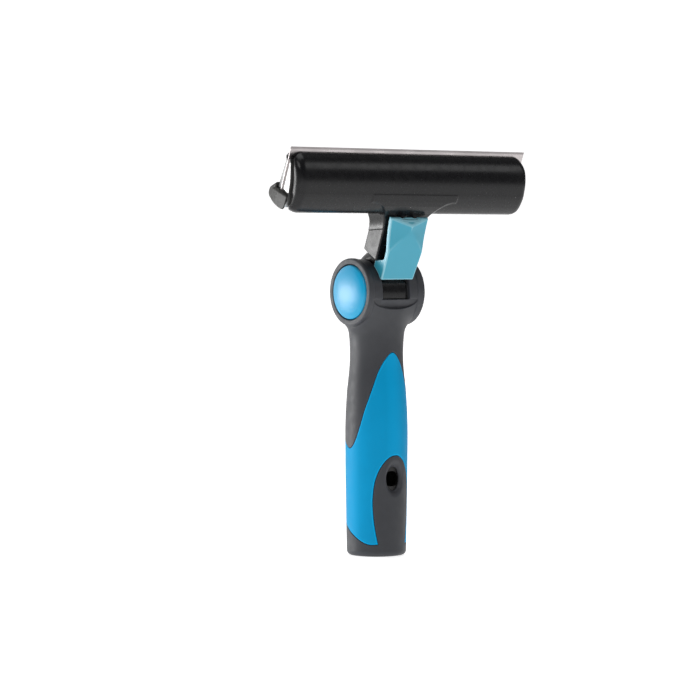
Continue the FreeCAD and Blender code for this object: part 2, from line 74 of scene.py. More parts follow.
def new_material(name):
    """A material with one Principled shader, kept under its name in MATERIALS."""
    material = bpy.data.materials.new(name)
    MATERIALS[name] = material
    material.use_nodes = True
    tree = material.node_tree
    tree.nodes.clear()
    output = tree.nodes.new("ShaderNodeOutputMaterial")
    shader = tree.nodes.new("ShaderNodeBsdfPrincipled")
    tree.links.new(shader.outputs["BSDF"], output.inputs["Surface"])
    return tree, shader


def position(tree, stretch=(1, 1, 1)):
    """Object coordinates in metres, stretched along an axis where grain runs that way."""
    coordinates = tree.nodes.new("ShaderNodeTexCoord")
    mapping = tree.nodes.new("ShaderNodeMapping")
    mapping.inputs["Scale"].default_value = stretch
    tree.links.new(coordinates.outputs["Object"], mapping.inputs["Vector"])
    return mapping.outputs["Vector"]


def noise(tree, vector, size, detail=3.0, roughness=0.5):
    """Noise whose features are about size metres across."""
    node = tree.nodes.new("ShaderNodeTexNoise")
    node.inputs["Scale"].default_value = 1.0 / size
    node.inputs["Detail"].default_value = detail
    node.inputs["Roughness"].default_value = roughness
    tree.links.new(vector, node.inputs["Vector"])
    return node.outputs["Fac"]


def spread(tree, factor, low, high):
    """Maps the middle of a noise onto a range of numbers."""
    node = tree.nodes.new("ShaderNodeMapRange")
    node.inputs["From Min"].default_value = 0.3
    node.inputs["From Max"].default_value = 0.7
    node.inputs["To Min"].default_value = low
    node.inputs["To Max"].default_value = high
    tree.links.new(factor, node.inputs["Value"])
    return node.outputs["Result"]


def blend_colours(tree, factor, first, second):
    """From the first colour to the second; each is three numbers or another node's output."""
    node = tree.nodes.new("ShaderNodeMix")
    node.data_type = "RGBA"
    for name, colour in (("A", first), ("B", second)):
        if isinstance(colour, tuple):
            node.inputs[name].default_value = (*colour, 1)
        else:
            tree.links.new(colour, node.inputs[name])
    tree.links.new(factor, node.inputs["Factor"])
    return node.outputs["Result"]


def edge_highlight_factor(tree):
    """Mask of the painted edge highlight: 1 on a piece's convex edges, 0 on open faces."""
    node = tree.nodes.new("ShaderNodeAttribute")
    node.attribute_name = "edge_highlight_mask"
    return node.outputs["Fac"]


def bump(tree, shader, height, strength, distance):
    node = tree.nodes.new("ShaderNodeBump")
    node.inputs["Strength"].default_value = strength
    node.inputs["Distance"].default_value = distance
    tree.links.new(height, node.inputs["Height"])
    tree.links.new(node.outputs["Normal"], shader.inputs["Normal"])


def moulded(name, colour, lighter, rough, grain=0.0004, depth=0.00002, coat=0.0, specular=0.5, highlight_colour=None,
             uneven=0.05):
    """Moulded plastic or rubber: fine grain, slow colour drift, uneven gloss and a painted highlight, a paler
    colour, on convex edges.
    """
    tree, shader = new_material(name)
    vector = position(tree)
    drift = spread(tree, noise(tree, vector, PATCH_SIZE, 4.0), 0.0, 1.0)
    open_face = blend_colours(tree, drift, colour, lighter)
    # painted highlight: convex edges blend to a paler colour, standing in for light caught on rounded edges
    paler = highlight_colour or tuple(1.3 * c for c in colour)
    tree.links.new(blend_colours(tree, edge_highlight_factor(tree), open_face, paler), shader.inputs["Base Color"])
    gloss = spread(tree, noise(tree, vector, GLOSS_SIZE), rough - uneven, rough + uneven)
    tree.links.new(gloss, shader.inputs["Roughness"])
    shader.inputs["Specular IOR Level"].default_value = specular
    shader.inputs["Coat Weight"].default_value = coat
    shader.inputs["Coat Roughness"].default_value = 0.12
    bump(tree, shader, noise(tree, vector, grain, 2.0, 0.6), 0.35, depth)


def brushed(name, colour, rough, stretch=(0.02, 1, 1), grain=0.0002):
    """Brushed or ground metal, its fine lines along X unless stretched another way."""
    tree, shader = new_material(name)
    vector = position(tree, stretch)
    lines = noise(tree, vector, grain, 5.0, 0.7)
    smudges = noise(tree, position(tree), SMUDGE_SIZE)
    darker = tuple(c * 0.82 for c in colour)
    streaks = blend_colours(tree, spread(tree, lines, 0, 1), colour, darker)
    tree.links.new(streaks, shader.inputs["Base Color"])
    shader.inputs["Metallic"].default_value = 1.0
    tree.links.new(spread(tree, smudges, rough - 0.06, rough + 0.08), shader.inputs["Roughness"])
    bump(tree, shader, lines, 0.2, LINE_DEPTH)


def grey(level):
    return (level, level, level)


GRIP, GRIP_PALE = (0.034, 0.036, 0.043), (0.041, 0.043, 0.05)
BLACK, BLACK_PALE = (0.004, 0.004, 0.005), (0.006, 0.006, 0.007)
JAW, JAW_PALE = (0.022, 0.022, 0.02), (0.03, 0.03, 0.027)
LINER, LINER_PALE = (0.012, 0.012, 0.013), (0.02, 0.02, 0.02)
CONE, CONE_PALE = (0.7, 0.7, 0.66), (0.76, 0.76, 0.72)
ROD, ROD_PALE = (0.6, 0.6, 0.57), (0.68, 0.68, 0.65)
INLAY, INLAY_PALE = (0.0, 0.33, 0.64), (0.0, 0.35, 0.68)
BUTTON, BUTTON_PALE = (0.0, 0.37, 0.66), (0.0, 0.39, 0.70)
# the third teal is the painted highlight on the lever's ridges and edges
TEAL, TEAL_PALE, TEAL_HIGHLIGHT = (0.035, 0.36, 0.50), (0.04, 0.39, 0.54), (0.25, 0.60, 0.72)
ALL_WAYS = (1, 1, 1)

moulded("grip_grey", GRIP, GRIP_PALE, 0.5, grain=0.00045, depth=0.00003)
moulded("cap_grey", GRIP, GRIP_PALE, 0.45, grain=0.0005)
moulded("inlay_blue", INLAY, INLAY_PALE, 0.5, specular=0.12)
moulded("liner_plastic", LINER, LINER_PALE, 0.5)
moulded("cone_plastic", CONE, CONE_PALE, 0.4)
moulded("washer_plastic", grey(0.05), grey(0.07), 0.4)
moulded("rod_plastic", ROD, ROD_PALE, 0.4)
moulded("button_blue", BUTTON, BUTTON_PALE, 0.3, grain=0.001, depth=0.0000003, uneven=0.01)
moulded("shell_black", BLACK, BLACK_PALE, 0.27, grain=0.0006, depth=0.0000008, specular=0.35)
moulded("lever_teal", TEAL, TEAL_PALE, 0.36, grain=0.0006, depth=0.000003, coat=0.15, highlight_colour=TEAL_HIGHLIGHT)
moulded("jaw_grey", JAW, JAW_PALE, 0.28, grain=0.001, depth=0.000002, specular=0.2)
moulded("strip_rubber", grey(0.012), grey(0.02), 0.6)
brushed("blade_steel", (0.55, 0.51, 0.51), 0.3)
brushed("honed_steel", (0.42, 0.39, 0.39), 0.35)
brushed("plate_steel", grey(0.36), 0.5)
brushed("seat_aluminium", (0.72, 0.72, 0.71), 0.4)
brushed("pin_steel", grey(0.6), 0.3)
brushed("screw_steel", (0.62, 0.62, 0.63), 0.3, ALL_WAYS)
brushed("spring_steel", grey(0.55), 0.35, ALL_WAYS)
brushed("cast_metal", grey(0.5), 0.45, ALL_WAYS, grain=0.0006)

SLOTS = {row["node"]: row["material_slot"] for row in frame["record"]["subparts"]}
for node, obj in NODES.items():
    obj.data.materials.clear()
    obj.data.materials.append(MATERIALS[SLOTS[node]])


# ---------------------------------------------------------------- smooth solids

def joined(first, second, fillet):
    """Union of two fields with a fillet about that wide."""
    share = np.clip(0.5 + 0.5 * (second - first) / fillet, 0, 1)
    return second + (first - second) * share - fillet * share * (1 - share)


def common(first, second, rounding):
    """Intersection of two fields with its edge rounded."""
    return -joined(-first, -second, rounding)


def minus(first, second, rounding):
    return -joined(-first, second, rounding)


def smooth_line(points, steps=8):
    """A curve through the points, as closely spaced straight runs."""
    points = np.array(points, float)
    ends = np.vstack([2 * points[0] - points[1], points, 2 * points[-1] - points[-2]])
    line = []
    for before, start, end, after in zip(ends, ends[1:], ends[2:], ends[3:]):
        for t in np.arange(steps) / steps:
            square = 2 * before - 5 * start + 4 * end - after
            cube = 3 * start - before - 3 * end + after
            line.append(0.5 * (2 * start + (end - before) * t + square * t ** 2 + cube * t ** 3))
    return np.array(line + [points[-1]])


def outline_field(outline, pitch=0.2):
    """Signed distance to a closed outline, negative inside, looked up in a grid worked out once."""
    low, high = outline.min(axis=0) - 3, outline.max(axis=0) + 3
    across, along = (np.arange(a, b, pitch) for a, b in zip(low, high))
    x, y = np.meshgrid(across, along, indexing="ij")
    nearest = np.full(x.shape, 1e9)
    inside = np.zeros(x.shape, bool)
    for (ax, ay), (bx, by) in zip(outline, np.roll(outline, -1, axis=0)):
        run_x, run_y = bx - ax, by - ay
        t = np.clip(((x - ax) * run_x + (y - ay) * run_y) / (run_x ** 2 + run_y ** 2 + 1e-12), 0, 1)
        nearest = np.minimum(nearest, np.hypot(x - ax - t * run_x, y - ay - t * run_y))
        if ay != by:
            inside ^= ((ay > y) != (by > y)) & (x < ax + run_x * (y - ay) / run_y)
    table = np.where(inside, -nearest, nearest)

    def field(x, y):
        column = np.clip((x - low[0]) / pitch, 0, len(across) - 1.001)
        row = np.clip((y - low[1]) / pitch, 0, len(along) - 1.001)
        i, j = column.astype(int), row.astype(int)
        f, g = column - i, row - j
        return ((table[i, j] * (1 - f) + table[i + 1, j] * f) * (1 - g)
                + (table[i, j + 1] * (1 - f) + table[i + 1, j + 1] * f) * g)
    return field


def slopes(field, points, step=0.12):
    """The field's gradient at each point."""
    columns = []
    for axis in range(3):
        shift = np.zeros(3)
        shift[axis] = step
        columns.append((field(*(points + shift).T) - field(*(points - shift).T)) / (2 * step))
    return np.stack(columns, axis=1)


def surface_of(field, low, high, pitch):
    """Vertices and quads on a field's zero level: a vertex in each crossed cell, a quad per crossed edge."""
    axes = [np.arange(a - 2 * pitch, b + 3 * pitch, pitch) for a, b in zip(low, high)]
    grid = np.meshgrid(*axes, indexing="ij")
    values = field(*grid)
    shape = np.array(values.shape)
    cells = np.zeros(tuple(shape - 1) + (4,))
    quads = []
    strides = np.array([(shape[1] - 1) * (shape[2] - 1), shape[2] - 1, 1])
    for axis in range(3):
        others = [n for n in range(3) if n != axis]
        length = values.shape[axis]
        start, end = (np.take(values, range(n, length - 1 + n), axis) for n in (0, 1))
        inner = [slice(None)] * 3
        for other in others:
            inner[other] = slice(1, -1)
        crossed = np.zeros(start.shape, bool)
        crossed[tuple(inner)] = (start < 0)[tuple(inner)] != (end < 0)[tuple(inner)]
        where = np.argwhere(crossed)
        first, second = start[crossed], end[crossed]
        place = where.astype(float)
        place[:, axis] += first / (first - second)
        around = []
        for back_a, back_b in ((0, 0), (1, 0), (1, 1), (0, 1)):
            cell = where.copy()
            cell[:, others[0]] -= back_a
            cell[:, others[1]] -= back_b
            np.add.at(cells, tuple(cell.T), np.column_stack([place, np.ones(len(place))]))
            around.append(cell @ strides)
        quad = np.stack(around, axis=1)
        flip = (first < 0) == (axis == 1)
        quad[flip] = quad[flip][:, ::-1]
        quads.append(quad)
    flat = cells.reshape(-1, 4)
    used = np.flatnonzero(flat[:, 3])
    number = np.full(len(flat), -1)
    number[used] = np.arange(len(used))
    origin = np.array([axis[0] for axis in axes])
    points = origin + flat[used, :3] / flat[used, 3:] * pitch
    for _ in range(4):
        slope = slopes(field, points)
        size = (slope ** 2).sum(axis=1) + 1e-9
        step = slope * (field(*points.T) / size)[:, None]
        length = np.linalg.norm(step, axis=1, keepdims=True)
        points -= step * np.minimum(1, 0.4 * pitch / np.maximum(length, 1e-9))
    return points, number[np.concatenate(quads)]


def edge_highlight_mask(field, points, reach=0.6):
    """How sharply the skin turns outwards, used as the mask of the painted edge highlight: 0 where it is flat
    or hollow, 1 on a tight edge.
    """
    total = -6 * field(*points.T)
    for shift in reach * np.vstack([np.eye(3), -np.eye(3)]):
        total += field(*(points + shift).T)
    least, span = 0.15, 0.5
    return np.clip((total / reach ** 2 - least) / span, 0, 1)


NORMAL_STEP = 0.35


def ring_faces(rows, count):
    """Quads between rows of points, each row a closed ring of count points."""
    return [(row * count + n, row * count + (n + 1) % count, (row + 1) * count + (n + 1) % count,
             (row + 1) * count + n) for row in range(rows - 1) for n in range(count)]


def linked(name, data):
    """A new object for a mesh, light or camera, in the scene."""
    obj = bpy.data.objects.new(name, data)
    bpy.context.scene.collection.objects.link(obj)
    return obj


def solid_piece(name, slot, body, replaced, field, low, high, pitch, to_world=lambda points: points):
    """A piece whose skin is the zero level of a field given in millimetres."""
    points, quads = surface_of(field, low, high, pitch)
    slope = slopes(field, points, NORMAL_STEP)
    normals = slope / (np.linalg.norm(slope, axis=1, keepdims=True) + 1e-9)
    turned = to_world(points + normals) - to_world(points)
    mesh = bpy.data.meshes.new(name)
    mesh.from_pydata((to_world(points) * MM).tolist(), [], quads.tolist())
    mesh.polygons.foreach_set("use_smooth", [True] * len(mesh.polygons))
    mesh.normals_split_custom_set_from_vertices(turned.tolist())
    # the mask of the painted edge highlight, read by the materials
    highlight_layer = mesh.attributes.new("edge_highlight_mask", "FLOAT", "POINT")
    highlight_layer.data.foreach_set("value", edge_highlight_mask(field, points))
    mesh.materials.append(MATERIALS[slot])
    piece = linked(name, mesh)
    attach(piece, body)
    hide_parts(*replaced)


# ---------------------------------------------------------------- handle

PIVOT = joint_place("head_swivel")
BARREL_HALF, BARREL_RADIUS = corners("handle_body")[1][:2]
WINDOW_HALF = corners("wear_washers")[1][0] + 0.05
SOCKET_RADIUS, SOCKET_DEPTH = corners("socket_liner")[1][1:]
CAP_IN, CAP_RADIUS = corners("end_cap")[0][0], corners("end_cap")[1][1]
BUTTON_IN, BUTTON_RADIUS = corners("lock_button")[1][:2]
JOURNAL_RADIUS = corners("hub_insert")[1][1]
DISC_SWELL, DISC_INNER, RIGHT_DISC_LONGER = 0.25, 13.9, 1.0
INLAY_DEPTH, INLAY_GAP = 1.2, 0.1
GIRTH = 16.0
CATCH_HEIGHT, CATCH_HALF_WIDTH, CATCH_HALF_RISE = 40.0, 4.0, 5.8
DISH_WIDER, DISH_HIGHER = 3.6, 4.6
LEDGE_TOP, LEDGE_HALF, LEDGE_DROP = 132.2, 14.0, 4.9

# height and radius of the grip
GRIP_PROFILE = smooth_line([(0, 15.3), (14, 15.6), (26, 15.8), (38, 16.0), (51, 16.12), (63, 16.18),
                            (72, 16.0), (79, 15.65), (86, 15.15), (93, 14.4), (98, 13.95), (104, 13.75),
                            (110, 13.95), (114, 14.3), (118, 14.9), (123, 15.6), (128, 15.9), (134, 16.0)])

# the inlay's edge, as degrees round from the front and height
INLAY_TOP = [(-34, 95), (-18, 101.5), (0, 105), (18, 101.5), (34, 95), (48, 85), (61, 75), (70, 67),
             (79, 60.5), (88, 56.8), (97, 55.6), (110, 57), (135, 60.5), (180, 63.5), (200, 63)]
INLAY_FOOT = [(200, 22), (180, 21.5), (140, 18.5), (113, 15), (90, 11.3), (69, 8), (52, 6.3), (34, 6.4)]
INLAY_FRONT = [(34, 6.4), (38, 11.4), (42, 18), (44.5, 26), (43.5, 33), (39.5, 39.5), (32, 44.8), (21, 49.2),
               (9, 51.6), (0, 52), (-9, 51.6), (-21, 49.2)]


def unrolled(points):
    """Degrees round from the front become millimetres along the grip's girth."""
    line = smooth_line(points)
    return np.column_stack([np.radians(line[:, 0]) * GIRTH, line[:, 1]])


inlay_outline = outline_field(np.vstack([unrolled(part) for part in (INLAY_TOP, INLAY_FOOT, INLAY_FRONT)]))


def inlay_region(x, y, z):
    return inlay_outline(np.abs(np.arctan2(x, -y)) * GIRTH, z)


def barrel_distance(y, z):
    return np.hypot(y - PIVOT[1], z - PIVOT[2])


def handle_skin(x, y, z):
    """The grip flaring into the middle of the barrel, with a plain disc at each end of the barrel."""
    grip_top, throat_fillet, rim_round, foot_round = 131, 6, 1.1, 2.6
    grip = np.hypot(x, y) - np.interp(z, GRIP_PROFILE[:, 0], GRIP_PROFILE[:, 1])
    grip = common(grip, z - grip_top, 4)
    around = barrel_distance(y, z)
    middle = common(around - (BARREL_RADIUS - DISC_SWELL), np.abs(x) - DISC_INNER - 0.3, 1)
    ends = np.maximum(x - BARREL_HALF - RIGHT_DISC_LONGER, -x - BARREL_HALF)
    disc = common(around - BARREL_RADIUS - DISC_SWELL, np.maximum(DISC_INNER - np.abs(x), ends), rim_round)
    skin = joined(joined(grip, middle, throat_fillet), disc, 0.3)
    return common(skin, -z, foot_round)


def catch_hole(x, y, z):
    """The pole catch's oval hole with its dished mouth."""
    dish_start, dish_depth, inner_end, dish_curve = 13.0, 4.0, 6, 1.4
    depth = np.clip((-y - dish_start) / dish_depth, 0, 1.2) ** dish_curve
    half_width, half_rise = CATCH_HALF_WIDTH + DISH_WIDER * depth, CATCH_HALF_RISE + DISH_HIGHER * depth
    reach = np.hypot(x / half_width, (z - CATCH_HEIGHT) / half_rise)
    return np.maximum((reach - 1) * half_width, y + inner_end)


def handle_hollows(x, y, z):
    """The pole socket, the room that the knuckle swings in, and the wells for the axle's end pieces."""
    cavity_radius, window_foot, stub_radius, stub_end, journal_half = 16.0, 127.0, 9.2, 10, 10.3
    around, side = barrel_distance(y, z), np.abs(x)
    socket = np.maximum(np.hypot(x, y) - SOCKET_RADIUS, z - SOCKET_DEPTH)
    knuckle_room = np.maximum(around - cavity_radius, side - WINDOW_HALF)
    front = np.maximum(np.maximum(side - WINDOW_HALF, y), LEDGE_TOP - z)
    back = np.maximum(np.maximum(side - WINDOW_HALF, -y), window_foot - z)
    cap_well = np.maximum(around - CAP_RADIUS - 0.1, CAP_IN - x)
    skirt_well = np.maximum(around - BUTTON_RADIUS - 0.7, x - BUTTON_IN)
    stub_well = np.maximum(around - stub_radius, x + stub_end)
    journal = np.maximum(around - JOURNAL_RADIUS - 0.2, side - journal_half)
    return np.minimum.reduce([socket, knuckle_room, front, back, cap_well, skirt_well, stub_well, journal])


def ledge(x, y, z):
    """The crescent step under the front window."""
    below = LEDGE_TOP - z
    crescent = (np.hypot(x / LEDGE_HALF, below / LEDGE_DROP) - 1) * LEDGE_DROP
    floor_depth, floor_slope = 16.1, 0.3
    return np.maximum(np.maximum(crescent, -below), y + floor_depth - floor_slope * below)


def handle_field(x, y, z):
    """The grip and barrel, hollowed, with a pocket for the inlay; each cut has its own edge rounding."""
    skin = handle_skin(x, y, z)
    pocket = np.maximum(inlay_region(x, y, z) - INLAY_GAP, -(skin + INLAY_DEPTH))
    body = minus(skin, pocket, 0.25)
    body = minus(body, handle_hollows(x, y, z), 0.5)
    body = minus(body, ledge(x, y, z), 0.35)
    return minus(body, catch_hole(x, y, z), 0.9)


def inlay_field(x, y, z):
    """The inlay fills its pocket, very slightly below the grip's skin."""
    skin = handle_skin(x, y, z) + 0.02
    patch = common(skin, inlay_region(x, y, z) + INLAY_GAP, 0.35)
    patch = np.maximum(patch, -(skin + INLAY_DEPTH - 0.1))
    return minus(patch, catch_hole(x, y, z), 0.9)


def make_handle():
    pitch = 0.4
    solid_piece("grip_shell", "grip_grey", "handle", ["handle_body"], handle_field,
                (-17.6, -17.6, 0), (18.6, 17.6, 153.4), pitch)
    solid_piece("grip_pad", "inlay_blue", "handle", ["grip_inlay"], inlay_field,
                (-16.5, -16.5, 4), (16.5, 16.5, 107), pitch)


# ---------------------------------------------------------------- head, drawn upright, then leaning forward

ROD_AXIS = JOINTS["rod_slide"]["axis"]
LEAN = math.atan2(-ROD_AXIS[2], -ROD_AXIS[1])


def leaning(points):
    """From the upright head, X and back and up from the pivot, to the object's frame."""
    x, back, up = points.T
    return PIVOT + np.column_stack([x, back * math.cos(LEAN) - up * math.sin(LEAN),
                                    back * math.sin(LEAN) + up * math.cos(LEAN)])


def upright_place(name):
    """A head joint's axis, as distances forward of the pivot and up the upright head."""
    _, back, rise = joint_place(name) - PIVOT
    forward = -back * math.cos(LEAN) - rise * math.sin(LEAN)
    up = -back * math.sin(LEAN) + rise * math.cos(LEAN)
    return round(forward, 2), round(up, 2)


SHELL_HALF = corners("head_body")[1][0]
KNUCKLE_RADIUS = corners("head_body")[1][1]
INSERT_RADIUS, INSERT_END = corners("hub_insert")[1][1], corners("hub_insert")[1][0]
ROD_RADIUS = corners("push_rod")[1][0]
JAW_PIN, LEVER_PIN = upright_place("clamp_opening"), upright_place("release_lever")
KNUCKLE_HALF = 8.3
NECK_FRONT, NECK_BACK, NECK_HALF = 8.3, -3.4, 13.0
EAR_MIDDLE, EAR_HALF = 75.05, 0.2
LUG_PLACES, LUG_HALF = (24.0, 62.0), 2.9
FORK_PLACE, FORK_HALF = 3.8, 1.2

# outlines of the upright head's sections: forward of the pivot, and up from it
SHELL_FRONT = smooth_line([(0, 75.4), (4.2, 73.5), (7.8, 70.0), (10.6, 64.4), (11.8, 58)])
SHELL_LOWER = smooth_line([(11.8, 56.5), (11.4, 54.0), (10.7, 51.5), (9.8, 49.4), (8.8, 47.7), (7.6, 46.6),
                           (5.8, 45.8), (3.6, 45.7), (2.7, 46.2)])
SEAT_LINE = [(3.2, 47.6), (5.0, 51.5), (4.45, 54.5), (3.15, 62.1), (0.5, 69.6), (-0.95, 71.6), (-0.95, 75.2)]
EAR = [(-3.0, 71.4), (-3.2, 72.8), (-2.4, 73.8), (-1.6, 73.9), (-1.6, 71.2)]
NECK_LOWER = [(NECK_BACK, 22.7), (NECK_FRONT, 20.8)]
NECK_FLARE = [(NECK_FRONT, 44.6), (9.5, 47.4), (10.6, 49.5), (11.6, 52.0), (11.9, 54.6), (11.6, 58.0)]
NECK_ROOT = [(9.5, 59.0), (5.9, 50.2), (3.2, 46.9), (NECK_BACK, 46.9)]
HEEL_BACK = smooth_line([(-14.6, 4), (-13.9, 8.4), (-12.4, 12.8), (-9.7, 17.3), (-6.8, 20.4), (-3.4, 22.9)])
HEEL_FRONT = [(7, 22.5), (10.6, 10.8), (0, 0)]

shell_outline = outline_field(np.vstack([SHELL_FRONT, SHELL_LOWER, SEAT_LINE]))
ear_outline = outline_field(np.array(EAR))
neck_outline = outline_field(np.array(NECK_LOWER + NECK_FLARE + NECK_ROOT))
heel_outline = outline_field(np.vstack([HEEL_BACK, HEEL_FRONT]))


def shell_solid(x, forward, up):
    """The front shell, its ends drawn in at the upper and lower corners, with a thin ear at each end."""
    upper_corner, lower_corner, end_slope, end_round = 69, 50, 0.11, 4.0
    drawn_in = 0.05 * np.maximum(up - upper_corner, 0) ** 2 + 0.12 * np.maximum(lower_corner - up, 0) ** 2
    ends = np.abs(x) - SHELL_HALF + drawn_in + end_slope * forward
    ear = np.maximum(ear_outline(forward, up), np.abs(np.abs(x) - EAR_MIDDLE) - EAR_HALF)
    return np.minimum(common(shell_outline(forward, up), ends, end_round), ear)


def neck_solid(x, forward, up):
    """The flat neck; from a crease that is level across its sides, they sweep out to the shell."""
    crease_up, crease_slope, sweep, side = 35.0, 0.47, 14.0, np.abs(x)
    start = crease_up + crease_slope * forward
    half = np.where(up > start - 0.5, NECK_HALF, NECK_HALF - 0.3)
    arc = sweep - np.hypot(side - half - sweep, up - start)
    width = np.where(up < start, side - half, arc)
    width = np.where((up > start) & (side > half + sweep), start + sweep - up, width)
    width = np.maximum(width, side - half - sweep)
    return common(neck_outline(forward, up), width, 0.7)


def knuckle_solid(x, forward, up):
    """The disc that turns in the barrel, and the heel behind the neck's foot."""
    sides = np.abs(x) - KNUCKLE_HALF
    disc = common(np.hypot(forward, up) - KNUCKLE_RADIUS, sides, 0.8)
    return joined(disc, common(heel_outline(forward, up), sides, 5.0), 0.8)


def lug_solids(x, forward, up):
    """The fork that carries the lever's pin, and the eyes for the jaw's pin."""
    fork_root, fork_radius, eye_radius = 7, 1.1, 2.0
    root_front, root_back, root_up, root_half = 3.2, -3.5, 47.0, 0.5
    ahead, rise, side = forward - LEVER_PIN[0], up - LEVER_PIN[1], np.abs(x)
    fork = np.hypot(np.minimum(ahead, 0) * 0.4, rise)
    fork = np.maximum(fork, np.hypot(ahead, rise) * (ahead > 0)) - fork_radius
    fork = np.maximum(np.maximum(fork, fork_root - forward), np.abs(side - FORK_PLACE) - FORK_HALF)
    fork = np.maximum(fork, rise - 0.4)
    beside = np.minimum.reduce([np.abs(side - place) for place in LUG_PLACES]) - LUG_HALF
    root = np.maximum(np.maximum(forward - root_front, root_back - forward), np.abs(up - root_up) - root_half)
    eye = np.hypot(forward - JAW_PIN[0], up - JAW_PIN[1]) - eye_radius
    return np.minimum(fork, np.maximum(np.minimum(root, eye), beside))


def head_field(x, back, up):
    """Shell, neck and knuckle as one moulding, with its lugs and with room for what runs inside it."""
    forward = -back
    rod_middle, rod_half, pin_radius = 2, 8, 1.0
    body = joined(shell_solid(x, forward, up), neck_solid(x, forward, up), 1.0)
    body = joined(body, knuckle_solid(x, forward, up), 0.6)
    body = np.minimum(body, lug_solids(x, forward, up))
    insert_room = np.maximum(np.hypot(forward, up) - INSERT_RADIUS, x - INSERT_END)
    rod_room = np.maximum(np.hypot(x, up - LEVER_PIN[1]) - ROD_RADIUS - 0.1,
                          np.abs(forward - rod_middle) - rod_half)
    pin_room = np.hypot(forward - JAW_PIN[0], up - JAW_PIN[1]) - pin_radius
    return np.maximum(body, -np.minimum.reduce([insert_room, rod_room, pin_room]))


# ---------------------------------------------------------------- clamp jaw

HUMP_HALF, CAP_OUTER = 75.6, 75.95
JAW_BACK = [(-5.05, 55.3), (-4.95, 57.9), (-5.7, 57.6)]
JAW_ROUND = smooth_line([(-9.2, 54.3), (-9.95, 53.3), (-10.2, 52.0), (-10.1, 50.5), (-9.5, 49.3),
                         (-8.4, 48.5), (-5.6, 47.8), (-1.4, 47.9)])
JAW_INSIDE = [(-1.4, 51.7), (-5.0, 51.7)]
CAP_PEAK = [(-2.3, 58.8)]
CAP_ROUND = smooth_line([(-7.0, 54.5), (-8.0, 53.1), (-8.6, 50.6), (-7.4, 48.5), (-5.4, 47.5), (-2.5, 46.9),
                         (1.0, 46.5), (4.0, 46.8), (5.2, 47.8)])
CAP_FRONT = [(5.6, 51.0), (5.6, 54.2), (5.0, 58.3)]
jaw_outline = outline_field(np.vstack([JAW_BACK, JAW_ROUND, JAW_INSIDE]))
cap_outline = outline_field(np.vstack([CAP_PEAK, CAP_ROUND, CAP_FRONT]))


def jaw_field(x, back, up):
    """The rounded rear jaw, its tail behind the push rod, its notches for the lugs and a cap at each end."""
    forward, side = -back, np.abs(x)
    tail_back, tail_up, tail_room = 5.8, 45.5, (5, 1.0, 3.5)
    brow_up, cap_middle = 54.0, 2
    hump = common(jaw_outline(forward, up), side - HUMP_HALF, 0.8)
    brow = 0.35 * np.maximum(up - brow_up, 0)
    face = side - CAP_OUTER + brow + 0.05 * np.abs(forward + cap_middle)
    cap = common(cap_outline(forward, up), np.maximum(face * 0.85, EAR_MIDDLE - side), 0.5)
    tail = np.maximum(np.maximum(side - tail_room[0], np.abs(forward + tail_back) - tail_room[1]),
                      np.abs(up - tail_up) - tail_room[2])
    notch = np.minimum.reduce([np.abs(side - place) for place in LUG_PLACES]) - LUG_HALF - 0.4
    notch = np.maximum(notch, np.maximum(-5.5 - forward, up - 51.75))
    pin_room = np.hypot(forward - JAW_PIN[0], up - JAW_PIN[1]) - 1.05
    jaw = minus(np.minimum(hump, tail), np.minimum(notch, pin_room), 0.2)
    return np.minimum(jaw, cap)


# ---------------------------------------------------------------- release lever

LEVER_FOOT, LEVER_TOP = 12.6, 45.6
FOOT_HALF, TOP_WIDER = 10.2, 1.8
THUMB_FRONT, THUMB_SLOPE = 13.6, 0.057
ARCH_UP, ARCH_SLOPE, ARCH_CURVE = 39.0, 0.6, 0.036
CREST, CREST_UP, TOP_FRONT = 15.1, 42.6, 11.5
RIDGE_RUN = 12.0
RIDGE_RISE = (LEVER_TOP - CREST_UP) / RIDGE_RUN
RIDGE_FALL = (CREST - TOP_FRONT) / RIDGE_RUN
REAR, HEAD_LEAN_SLOPE = 5.3, 0.41
CAM_HALF, CAM_RADIUS, CAM_OFFSET = 2.2, 2.4, 1.5
FOOT_UP, HOLLOW_UP, NOTCH_FRONT, FOOT_FRONT = 20.4, 30, 11.9, 12.3
KNUCKLE_ROOM, SKIN_THICK = 17.55, 1.5


def lever_front(x, up):
    """How far forward the lever's skin is: a flat thumb face under an arch, facets above it, a ridged top."""
    side = np.abs(x)
    arch = ARCH_UP - ARCH_SLOPE * side - ARCH_CURVE * side ** 2
    thumb = THUMB_FRONT + THUMB_SLOPE * (up - LEVER_FOOT)
    at_arch = THUMB_FRONT + THUMB_SLOPE * (arch - LEVER_FOOT)
    ridge_up, ridge = CREST_UP + RIDGE_RISE * side, CREST - RIDGE_FALL * side
    share = np.clip((up - arch) / (ridge_up - arch), -0.5, 1)
    facet = at_arch + (ridge - at_arch) * share * (1.7 - 0.7 * share)
    top = CREST - (CREST - TOP_FRONT) / (LEVER_TOP - CREST_UP) * (up - CREST_UP)
    return joined(thumb, joined(facet, top, 0.9), 0.4)


def lever_cam(x, forward, up, skin):
    """The cam round the pin that works the push rod, and the rib that joins it to the lever's front."""
    side = np.abs(x)
    cam = np.maximum(np.hypot(forward - LEVER_PIN[0] + CAM_OFFSET, up - LEVER_PIN[1]) - CAM_RADIUS,
                     side - CAM_HALF)
    cam = np.maximum(cam, np.maximum(up - LEVER_TOP + 0.3, 9.2 - forward))
    rib = np.maximum(np.maximum(side - CAM_HALF, skin + 1.2), np.maximum(9.5 - forward, 42.0 - up))
    return np.minimum(cam, np.maximum(rib, up - LEVER_TOP + 0.6))


